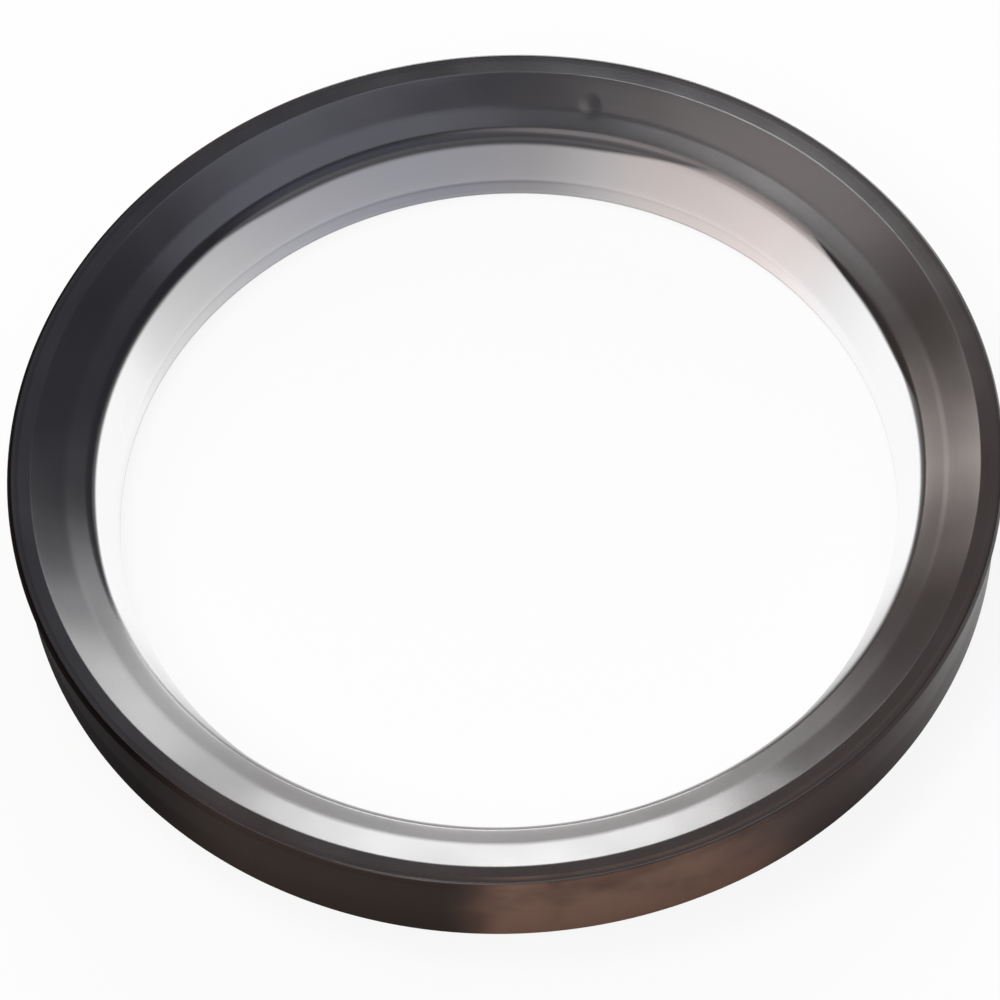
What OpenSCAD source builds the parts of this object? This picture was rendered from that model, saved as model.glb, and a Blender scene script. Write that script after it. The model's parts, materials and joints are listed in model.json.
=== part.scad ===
// Hydraulic cylinder seal: one moulded rubber ring with a single sealing lip on its outside.
// The ring lies on its flat heel, centred on the Z axis, with the lip up.
// It is one section turned about that axis. From the bore and round by the outside, the section
// has a flat heel, a straight band, a wall that flares out to the sealing edge, a short bevel,
// a land on top of the lip, a dished face that falls inwards in two steps, a rounded inner edge,
// and a bore that narrows from that edge down to a straight seat.

/* [Seat] */
// Bore at the heel, where the ring grips the journal that carries it
bore_d = 80; // [65:0.5:115]
// Height of the straight part of the bore
seat_h = 2.7; // [1.6:0.1:3.7]
// Width of the heel, from the bore to the straight band
heel_w = 9.9; // [9:0.1:12.8]
// Height of the straight band outside, above the heel
band_h = 4.3; // [2.7:0.1:5.3]

/* [Lip] */
// Height of the lip above the heel
lip_h = 11.2; // [10.6:0.1:13.8]
// How far the sealing edge stands out past the straight band
lip_flare = 0.75; // [0.3:0.05:1.6]
// Height of the bevel between the sealing edge and the land
bevel_h = 0.65; // [0.3:0.05:1.3]
// How far the bevel steps in from the sealing edge to the land
bevel_w = 0.3; // [0.2:0.05:0.6]
// Width of the land on top of the lip
land_w = 2.1; // [1.3:0.05:2.3]
// How far the land falls from its outer edge to its inner edge
land_fall = 0.3; // [0.1:0.05:0.5]

/* [Dished face] */
// Height of its inner edge above the heel
inner_h = 8.3; // [7.5:0.1:8.6]
// How far its inner edge stands back from the bore
inner_back = 2.25; // [1.6:0.05:2.7]
// Distance from the inner edge to the knee, where the dish turns steeper
knee_w = 2.55; // [1.9:0.05:3]
// Rise of the knee above the inner edge
knee_rise = 0.9; // [0.4:0.05:1.1]
// Radius that blends the shallow part of the dish into the steep part
dish_r = 6.4; // [3.2:0.1:8.5]

/* [Roundings] */
// Both edges of the heel
heel_edge_r = 0.5; // [0.2:0.05:0.7]
// The turn from the straight band into the flare
flare_r = 8.5; // [4:0.5:12]
// The sealing edge and the land's outer edge
sealing_edge_r = 0.3; // [0.1:0.05:0.4]
// The crest between the land and the dish
crest_r = 0.65; // [0.2:0.05:0.85]
// The inner edge, between the dish and the bore
inner_edge_r = 1.6; // [0.6:0.1:1.9]
// The turn from the straight part of the bore into its widening part
seat_edge_r = 2.2; // [1:0.1:4.2]

/* [Hidden] */

arc_steps = 10;
turn_fn = 180;

bore_r = bore_d / 2;
band_r = bore_r + heel_w;
lip_r = band_r + lip_flare;
land_r = lip_r - bevel_w;
inner_r = bore_r + inner_back;

// The corners of the section before they are rounded, anticlockwise: [distance from the axis,
// height above the heel, radius of the rounding].
corners = [
    [bore_r, 0, heel_edge_r],
    [band_r, 0, heel_edge_r],
    [band_r, band_h, flare_r],
    [lip_r, lip_h - bevel_h, sealing_edge_r],
    [land_r, lip_h, sealing_edge_r],
    [land_r - land_w, lip_h - land_fall, crest_r],
    [inner_r + knee_w, inner_h + knee_rise, dish_r],
    [inner_r, inner_h, inner_edge_r],
    [bore_r, seat_h, seat_edge_r],
];

function place(i) = [corner(i).x, corner(i).y];
function corner(i) = corners[(i + len(corners)) % len(corners)];

// Unit vector along the side from corner i to corner j.
function along(i, j) = (place(j) - place(i)) / norm(place(j) - place(i));

// Half of the angle between the two sides that meet at corner i.
function half_angle(i) = acos(along(i, i - 1) * along(i, i + 1)) / 2;

// How much of each side the rounding of corner i asks for, and its share of the side to
// corner j where the two roundings ask for more than the side has.
function asked(i) = corner(i).z / tan(half_angle(i));
function share(i, j) = norm(place(j) - place(i)) * asked(i) / (asked(i) + asked(j));
function trim(i) = min(asked(i), share(i, i - 1), share(i, i + 1));

// Points on the arc that rounds corner i, turned about its centre from side to side.
function rounded(i) =
    let (
        start = place(i) + along(i, i - 1) * trim(i),
        side_turn = cross(along(i - 1, i), along(i, i + 1)) > 0 ? 1 : -1,
        sweep = side_turn * (180 - 2 * half_angle(i)),
        radius = trim(i) * tan(half_angle(i)),
        centre = start + turned(along(i - 1, i), 90 * side_turn) * radius
    )
    [for (step = [0:arc_steps]) centre + turned(start - centre, sweep * step / arc_steps)];

function turned(v, angle) =
    [v.x * cos(angle) - v.y * sin(angle), v.x * sin(angle) + v.y * cos(angle)];

module seal_ring() {
    color("#232326")
        rotate_extrude($fn = turn_fn)
            polygon([for (i = [0:len(corners) - 1]) each rounded(i)]);
}

seal_ring();
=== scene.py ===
import json
import math

import bmesh
import bpy
from mathutils import Matrix, Vector


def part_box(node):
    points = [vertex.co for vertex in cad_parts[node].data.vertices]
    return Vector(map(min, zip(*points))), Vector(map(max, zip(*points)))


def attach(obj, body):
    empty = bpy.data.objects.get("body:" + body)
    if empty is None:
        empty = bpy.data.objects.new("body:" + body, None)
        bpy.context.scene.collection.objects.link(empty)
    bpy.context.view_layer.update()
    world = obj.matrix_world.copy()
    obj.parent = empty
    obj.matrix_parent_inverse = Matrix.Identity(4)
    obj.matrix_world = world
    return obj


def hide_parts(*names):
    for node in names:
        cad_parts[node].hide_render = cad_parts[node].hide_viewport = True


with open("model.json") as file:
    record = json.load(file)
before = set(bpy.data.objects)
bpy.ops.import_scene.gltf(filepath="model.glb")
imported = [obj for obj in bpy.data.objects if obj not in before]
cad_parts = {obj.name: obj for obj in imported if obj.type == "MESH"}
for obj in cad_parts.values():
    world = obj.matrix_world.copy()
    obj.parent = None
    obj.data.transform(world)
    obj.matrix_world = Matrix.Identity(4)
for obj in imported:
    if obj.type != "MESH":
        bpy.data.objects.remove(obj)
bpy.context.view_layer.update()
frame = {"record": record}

# The seal ring.
# The seal is one ring of black nitrile rubber, pressed and cured in a turned steel mould, so it
# is one section turned about its axis. The heel is down and the sealing lip is up, on the outside.
MM = 0.001
mounts = {mount["name"]: mount["dims"] for mount in frame["record"]["mounts"]}
ring_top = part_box("seal_ring")[1]
bore_r = mounts["journal_bore"]["r_mm"] * MM
band_r = mounts["heel_band"]["r_mm"] * MM
lip_r, lip_h = ring_top[0], ring_top[2]

band_h, bevel_h, bevel_w = 4.3 * MM, 0.65 * MM, 0.3 * MM
land_w, land_fall = 2.1 * MM, 0.3 * MM
inner_r, inner_h = bore_r + 2.25 * MM, 8.3 * MM
knee_w, knee_rise = 2.55 * MM, 0.9 * MM
seat_h = 2.7 * MM

# Each corner of the section: distance from the axis, height, and radius of its rounding.
corners = [
    (bore_r, 0, 0.5 * MM),
    (band_r, 0, 0.5 * MM),
    (band_r, band_h, 8.5 * MM),
    (lip_r, lip_h - bevel_h, 0.3 * MM),
    (lip_r - bevel_w, lip_h, 0.3 * MM),
    (lip_r - bevel_w - land_w, lip_h - land_fall, 0.65 * MM),
    (inner_r + knee_w, inner_h + knee_rise, 6.4 * MM),
    (inner_r, inner_h, 1.6 * MM),
    (bore_r, seat_h, 2.2 * MM),
]


def rounding_trims(corners):
    """How far each corner's rounding reaches along its two sides, shared where they meet."""
    count = len(corners)
    places = [Vector((r, z)) for r, z, _ in corners]
    asked = []
    for i in range(count):
        before, after = places[i - 1] - places[i], places[(i + 1) % count] - places[i]
        asked.append(corners[i][2] / math.tan(before.angle(after) / 2))
    trims = []
    for i in range(count):
        shares = [asked[i]]
        for j in (i - 1, (i + 1) % count):
            shares.append((places[j] - places[i]).length * asked[i] / (asked[i] + asked[j]))
        trims.append(min(shares))
    return trims


ring_steps, rounding_steps, side_step = 300, 10, 0.7 * MM
ring_bm = bmesh.new()
section_verts = [ring_bm.verts.new((r, 0, z)) for r, z, _ in corners]
ring_bm.faces.new(section_verts)
for vert, trim in zip(section_verts, rounding_trims(corners)):
    bmesh.ops.bevel(
        ring_bm, geom=[vert], offset=trim, offset_type="OFFSET", segments=rounding_steps,
        profile=0.5, affect="VERTICES", material=-1,
    )
bmesh.ops.delete(ring_bm, geom=ring_bm.faces[:], context="FACES_ONLY")
for edge in [e for e in ring_bm.edges if e.calc_length() > 1.5 * side_step]:
    cuts = round(edge.calc_length() / side_step) - 1
    bmesh.ops.subdivide_edges(ring_bm, edges=[edge], cuts=cuts)
bmesh.ops.spin(
    ring_bm, geom=ring_bm.verts[:] + ring_bm.edges[:], cent=(0, 0, 0), axis=(0, 0, 1),
    angle=math.tau, steps=ring_steps, use_merge=True,
)
bmesh.ops.remove_doubles(ring_bm, verts=ring_bm.verts, dist=0.0005 * MM)
bmesh.ops.recalc_face_normals(ring_bm, faces=ring_bm.faces)
for face in ring_bm.faces:
    face.smooth = True
ring_mesh = bpy.data.meshes.new("seal_ring_rubber")
ring_bm.to_mesh(ring_mesh)
ring_bm.free()
ring = bpy.data.objects.new("seal_ring_rubber", ring_mesh)
bpy.context.scene.collection.objects.link(ring)
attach(ring, "root")
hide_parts("seal_ring")


class Sum:
    """A socket's value inside a sum, so that shader maths reads as plain arithmetic."""

    def __init__(self, nodes, socket):
        self.nodes, self.socket = nodes, socket

    def maths(self, operation, *others):
        values = {i: other for i, other in enumerate(others, 1)}
        values[0] = self
        return self.nodes.add("ShaderNodeMath", {"operation": operation}, values)

    def flipped(self, operation, other):
        return self.nodes.add("ShaderNodeMath", {"operation": operation}, {0: other, 1: self})

    def __add__(self, other):
        return self.maths("ADD", other)

    def __sub__(self, other):
        return self.maths("SUBTRACT", other)

    def __mul__(self, other):
        return self.maths("MULTIPLY", other)

    def __truediv__(self, other):
        return self.maths("DIVIDE", other)

    def __pow__(self, other):
        return self.maths("POWER", other)

    def __rsub__(self, other):
        return self.flipped("SUBTRACT", other)

    __radd__, __rmul__ = __add__, __mul__

    def larger(self, other):
        return self.maths("MAXIMUM", other)

    def between(self, low, high, rise="SMOOTHSTEP"):
        """0 at low and before it, 1 at high and past it. Low may be the larger."""
        values = {"Value": self, "From Min": low, "From Max": high}
        return self.nodes.add("ShaderNodeMapRange", {"interpolation_type": rise}, values)


class Nodes:
    """The nodes of one material or world."""

    def __init__(self, owner):
        owner.use_nodes = True
        self.tree = owner.node_tree
        self.tree.nodes.clear()

    def mixed(self, factor, first, second):
        """A colour between two, each given as red, green and blue or by another node."""
        first, second = [c if isinstance(c, Sum) else (*c, 1) for c in (first, second)]
        values = {0: factor, 6: first, 7: second}
        return self.add("ShaderNodeMix", {"data_type": "RGBA"}, values, 2)

    def over(self, factor, under, top):
        """A face between two."""
        return self.add("ShaderNodeMixShader", values={0: factor, 1: under, 2: top})

    def add(self, kind, settings=None, values=None, output=0):
        """A node of that kind: its settings first, then the values or links of its sockets."""
        node = self.tree.nodes.new(kind)
        for name, setting in (settings or {}).items():
            setattr(node, name, setting)
        for name, value in (values or {}).items():
            if isinstance(value, Sum):
                self.tree.links.new(value.socket, node.inputs[name])
            else:
                node.inputs[name].default_value = value
        return Sum(self, node.outputs[output]) if node.outputs else None


# The moulded faces are glossy, with faint turning marks from the mould and smears of oil. The bore is
# satin, and its pale grey is a painted reflection of the white board; the outer wall is dry and a
# little brown, with painted shade and light in its colour.
# As the camera sees the ring, x runs to the right and y runs away.
black_rubber = bpy.data.materials.new("black_rubber")
on_ring = Nodes(black_rubber)
place = on_ring.add("ShaderNodeTexCoord", output="Object")
x, y, z = [on_ring.add("ShaderNodeSeparateXYZ", values={0: place}, output=i) for i in "XYZ"]
r = (x * x + y * y) ** 0.5


def toward(turn):
    """How far a point lies toward that side, in degrees: 0 is the right and 90 the back."""
    return x * math.cos(math.radians(turn)) + y * math.sin(math.radians(turn))


# The bore is painted pale from the heel up to the inner edge, as a painted reflection of the white
# board. On the left, at the back and in one place on the right the pale part stops short of that edge.
# At the very back it stops lowest, and only touches the edge's rounding.
pale_h, short_by, right_share, back_more, touch = inner_h + 0.2 * MM, 0.75 * MM, 0.8, 0.75, 0.23
short = toward(127).between(12 * MM, 26 * MM)
short = short + toward(22).between(40.9 * MM, 41.9 * MM) * right_share
short = short * (y.between(30 * MM, 37 * MM) * back_more + 1)
pale_top = (z + short * short_by).between(pale_h, pale_h - 0.6 * MM)
touched = z.between(pale_h, pale_h - 0.4 * MM) * z.between(pale_h - 1.5 * MM, pale_h - 0.5 * MM)
touched = touched * y.between(30 * MM, 38 * MM) * touch
bore_mask = r.between(inner_r + 1.0 * MM, inner_r + 0.6 * MM) * pale_top.larger(touched)
seat_mask = z.between(seat_h + 0.5 * MM, seat_h - 0.5 * MM)
heel_mask = z.between(0.8 * MM, 0.2 * MM)

# The outer wall is dry up to the land, and on the left so is the sealing edge. Toward the right
# the wall turns glossy.
wall_mask = r.between(band_r - 0.5 * MM, band_r - 0.2 * MM)
wall_mask = wall_mask * z.between(lip_h - 0.02 * MM, lip_h - 0.22 * MM)
edge_mask = r.between(lip_r - 0.6 * MM, lip_r - 0.4 * MM) * x.between(-5 * MM, -25 * MM)
dry_mask = wall_mask.larger(edge_mask) * x.between(64 * MM, 30 * MM)


def noise(at, size, detail=2, roughness=0.5):
    """Soft noise whose features are about that size."""
    values = {"Vector": at, "Scale": 1 / size, "Detail": detail, "Roughness": roughness}
    return on_ring.add("ShaderNodeTexNoise", values=values)


def rings(size, seed):
    """Noise that only changes across the ring's section, as turning marks do."""
    at = on_ring.add("ShaderNodeCombineXYZ", values={"X": r, "Y": z, "Z": seed})
    return noise(at, size, detail=1)


# The black is a little blue at the back left and a little brown at the front right, in patches.
blue_black, brown_black = (0.009, 0.009, 0.014), (0.018, 0.011, 0.010)
cast_lean, cast_patches = 0.7, 1.6
cast = (x - y) * (cast_lean / lip_r) + (noise(place, 25 * MM) - 0.5) * cast_patches
black = on_ring.mixed(cast.between(-0.6, 0.6), blue_black, brown_black)

# The dry wall's colour is painted shade and light: darkest on the left and palest on the right. At the
# front it has a brown painted reflection of the board, in patches that thin out upwards.
left_wall_shade, front_wall_shade, right_wall_light = (0.004, 0.002, 0.002), (0.040, 0.030, 0.026), (0.074, 0.059, 0.057)
reflection_brown, reflection_base, reflection_patches, reflection_fall = (0.235, 0.142, 0.107), 0.35, 1.6, 0.045 / MM
wall_shading = on_ring.mixed(x.between(-40 * MM, -28 * MM), left_wall_shade, front_wall_shade)
wall_shading = on_ring.mixed(x.between(4 * MM, 24 * MM), wall_shading, right_wall_light)
# The brown painted reflection of the board on the front of the wall, paler toward the bottom.
board_reflection = x.between(-11 * MM, 0) * x.between(32 * MM, 12 * MM) * y.between(-22 * MM, -42 * MM)
board_reflection = board_reflection * (noise(place, 7 * MM, 3) * reflection_patches - z * reflection_fall + reflection_base)
brown = on_ring.mixed(board_reflection.between(0, 1), wall_shading, reflection_brown)

# Relief, in millimetres: turning marks, slow waves, the grain of the mould, and one small pip
# that stands on the dish.
fine_marks_rise, broad_marks_rise, waves_rise, grain_rise, pip_rise = 0.0022, 0.006, 0.12, 0.0014, 0.05
marks = rings(0.5 * MM, 0.0) * fine_marks_rise + rings(1.6 * MM, 0.3) * broad_marks_rise
waves = noise(place, 11 * MM, 1) * waves_rise
grain = noise(place, 0.25 * MM, 3) * grain_rise
pip_r, pip_turn, pip_w, pip_l = 45.3 * MM, math.radians(75.1), 1.4 * MM, 1.6 * MM
pip_x = (x - pip_r * math.cos(pip_turn)) / pip_w
pip_y = (y - pip_r * math.sin(pip_turn)) / pip_l
pip = (pip_x ** 2 + pip_y ** 2) ** 0.5
height = marks + (waves + grain) + pip.between(1, 0) * pip_rise
relief = on_ring.add("ShaderNodeBump", values={"Strength": 1.0, "Distance": MM, "Height": height})

least_rough, smears = 0.2, 0.09
oiled = noise(place, 9 * MM, 3) * smears + least_rough
moulded = on_ring.add("ShaderNodeBsdfPrincipled", values={
    "Base Color": black, "Roughness": oiled, "IOR": 1.7, "Normal": relief,
})
dry = on_ring.add("ShaderNodeBsdfPrincipled", values={
    "Base Color": brown, "Roughness": 0.8, "IOR": 1.12, "Normal": relief,
})

# The bore's pale grey is a painted reflection of the white board, bluish at the back left and darker at
# the front.
grey, front_grey, blue_grey = (0.24, 0.235, 0.25), (0.085, 0.082, 0.085), (0.225, 0.24, 0.31)
front = y.between(-12 * MM, -32 * MM)
cool = x.between(8 * MM, -8 * MM) * y.between(26 * MM, 34 * MM)
bore_grey = on_ring.mixed(cool, on_ring.mixed(front, grey, front_grey), blue_grey)
pale_bore = on_ring.add("ShaderNodeBsdfPrincipled", values={
    "Base Color": bore_grey, "Roughness": 0.5, "IOR": 1.45, "Normal": relief,
})

# It takes on a sheen where it is seen at a slant, with extra painted sheen on the right at the back,
# and less on the seat, at the heel's edge and at the front. The sheen is pale, with a painted pink tint
# at the back right, smoother on the left and right, and rougher at the front.
pale, pinkish = (0.98, 0.98, 0.985), (0.925, 0.84, 0.82)
satin, front_rougher, sides_smoother = 0.5, 0.25, 0.25
painted_sheen_more, seat_less, heel_less, front_less = 0.36, 0.31, 0.9, 0.75
sides = (x * x / r).between(28 * MM, 40 * MM)
# The extra painted sheen on the right at the back, and the painted pink tint at the back right.
painted_sheen = x.between(4 * MM, 20 * MM) * y.between(2 * MM, 20 * MM)
warm = x.between(8 * MM, 20 * MM) * y.between(18 * MM, 30 * MM)
worn = front * front_rougher + satin - sides * sides_smoother
pale_sheen, pink_sheen = [
    on_ring.add("ShaderNodeBsdfGlossy", values={
        "Color": (*color, 1), "Roughness": worn, "Normal": relief,
    })
    for color in (pale, pinkish)
]
facing = on_ring.add("ShaderNodeLayerWeight", values={"Blend": 0.5}, output="Facing")
slant = (facing - seat_mask * seat_less).between(0.06, 0.43, "LINEAR") + painted_sheen * painted_sheen_more
slant = slant * (1 - heel_mask * heel_less) * (1 - front * front_less)
bore_face = on_ring.over(slant, pale_bore, on_ring.over(warm, pale_sheen, pink_sheen))
rubber_face = on_ring.over(bore_mask, on_ring.over(dry_mask, moulded, dry), bore_face)
on_ring.add("ShaderNodeOutputMaterial", values={"Surface": rubber_face})
ring_mesh.materials.append(black_rubber)

# The floor sheet.
# A smooth white board lies under the ring. It is not part of the seal. It is seen as white, and
# still takes the ring's shadow.
sheet_r, sheet_steps, seen_white = 1.5, 96, 0.88
floor_bm = bmesh.new()
bmesh.ops.create_circle(floor_bm, cap_ends=True, radius=sheet_r, segments=sheet_steps)
floor_mesh = bpy.data.meshes.new("floor_sheet")
floor_bm.to_mesh(floor_mesh)
floor_bm.free()
floor = bpy.data.objects.new("floor_sheet", floor_mesh)
bpy.context.scene.collection.objects.link(floor)

white_board = bpy.data.materials.new("white_board")
on_floor = Nodes(white_board)
camera_ray, glossy_ray, transmission_ray = [
    on_floor.add("ShaderNodeLightPath", output=ray)
    for ray in ("Is Camera Ray", "Is Glossy Ray", "Is Transmission Ray")
]
seen = camera_ray.larger(glossy_ray).larger(transmission_ray)
matt = on_floor.add("ShaderNodeBsdfDiffuse", values={"Color": (0.85, 0.85, 0.85, 1)})
bright = on_floor.add("ShaderNodeEmission", values={"Color": (1, 1, 1, 1), "Strength": 1.0})
board_face = on_floor.over(seen * seen_white, matt, bright)
on_floor.add("ShaderNodeOutputMaterial", values={"Surface": board_face})
floor_mesh.materials.append(white_board)

# The studio.
# Soft light panels stand round the ring, each in the direction where the photograph's
# reflections ask for it, and the room between them is dim.
room = bpy.data.worlds.new("dim_room")
bpy.context.scene.world = room
in_room = Nodes(room)
dim = in_room.add("ShaderNodeBackground", values={"Color": (1, 1, 1, 1), "Strength": 0.185})
in_room.add("ShaderNodeOutputWorld", values={"Surface": dim})


def light_panel(name, stands, spread, radiance, color=(1, 1, 1), distance=3):
    """A flat panel in that direction (azimuth, elevation), that wide and high as seen, in degrees."""
    azimuth, elevation = map(math.radians, stands)
    width, height = [2 * distance * math.tan(math.radians(side) / 2) for side in spread]
    data = bpy.data.lights.new(name, "AREA")
    data.shape, data.size, data.size_y, data.color = "RECTANGLE", width, height, color
    data.energy = radiance * math.pi * width * height
    turned = Matrix.Rotation(azimuth, 4, "Z") @ Matrix.Rotation(-elevation, 4, "Y")
    facing_in = Matrix(((0, 0, 1, 0), (1, 0, 0, 0), (0, 1, 0, 0), (0, 0, 0, 1)))
    panel = bpy.data.objects.new(name, data)
    panel.matrix_world = turned @ Matrix.Translation((distance, 0, 0)) @ facing_in
    bpy.context.scene.collection.objects.link(panel)


light_panel("low_window", (87.6, 9.8), (26.0, 12.1), 12.0)
light_panel("high_window", (84.4, 25.8), (46.3, 13.9), 2.8)
light_panel("side_window", (131.1, 38.0), (11.0, 15.9), 6.0, (1.0, 0.91, 0.87))
light_panel("left_panel", (215.9, 55.7), (63.9, 31.1), 2.4, (1.0, 0.91, 0.88))
light_panel("ceiling_lamp", (135.1, 69.9), (12.7, 15.4), 11.0)
light_panel("high_lamp", (114.0, 67.5), (7.0, 6.0), 3.2)
light_panel("right_panel", (-2.4, 76.9), (23.9, 27.6), 1.7, (0.84, 0.85, 1.0))
light_panel("right_high_window", (63.2, 30.5), (14.5, 21.0), 4.2)
light_panel("right_low_window", (63.2, 11.0), (14.5, 18.0), 7.5)

# The camera.
# It looks at the ring from where the photograph was taken, and is held a little off level. In
# the photograph the lip is 983 pixels across, and its centre is just right of and below the middle.
photo_px, lip_px, off_centre_px = 1000, 491.5, (8.2, 10.1)
elevation, roll, away = math.radians(56.94), math.radians(-4.05), 12 * lip_r
camera_data = bpy.data.cameras.new("camera")
camera_data.sensor_width = 36
camera_data.lens = lip_px * away / lip_r / photo_px * camera_data.sensor_width
toward_camera = Vector((0, -math.cos(elevation), math.sin(elevation)))
level = (-toward_camera).to_track_quat("-Z", "Y").to_matrix()
held = level @ Matrix.Rotation(roll, 3, "Z")
px = lip_r / lip_px
aside = held @ Vector((-off_centre_px[0] * px, off_centre_px[1] * px, 0))
camera = bpy.data.objects.new("camera", camera_data)
camera.matrix_world = Matrix.Translation(toward_camera * away + aside) @ held.to_4x4()
bpy.context.scene.collection.objects.link(camera)
bpy.context.scene.camera = camera
bpy.context.scene.view_settings.view_transform = "Standard"
